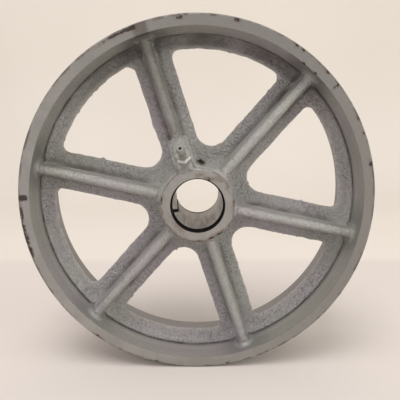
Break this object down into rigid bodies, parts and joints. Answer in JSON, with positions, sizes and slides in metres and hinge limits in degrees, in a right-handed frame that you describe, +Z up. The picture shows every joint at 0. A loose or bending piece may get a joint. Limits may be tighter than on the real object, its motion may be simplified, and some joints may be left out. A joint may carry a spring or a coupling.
{
  "type": "industrial caster wheel",
  "caption": "Spoked cast-iron caster wheel with ribbed spokes, a hub with a split steel bearing race, and a ball-check grease fitting on a tilted boss.",
  "frame": {"origin": "centre of the wheel, on its axis, halfway between the rim's two faces", "axes": "+Y along the axle from the grease-fitting side to the back, +Z up, +X to the right as seen from the grease-fitting side"},
  "size_m": [0.254, 0.0876, 0.254],
  "materials": {
    "painted_cast_iron": "silver-grey aluminium paint over sand-cast iron, smooth on the turned faces",
    "race_steel": "rolled mild steel, dull, lightly oxidised",
    "plated_steel": "bright zinc plate",
    "ball_steel": "hardened steel, polished",
    "spring_steel": "drawn spring wire"
  },
  "bodies": {
    "wheel": {"wheel_casting": "painted_cast_iron", "bearing_race": "race_steel", "grease_fitting": "plated_steel", "check_spring": "spring_steel"},
    "valve_ball": {"check_ball": "ball_steel"}
  },
  "joints": [
    {"name": "check_ball_lift", "type": "slide", "parent": "wheel", "child": "valve_ball", "axis": [0.1638, 0.848, -0.504], "range_m": [0, 0.0012], "stiffness_N_per_m": 200, "springref_m": -0.002, "deforming": ["check_spring"]}
  ]
}
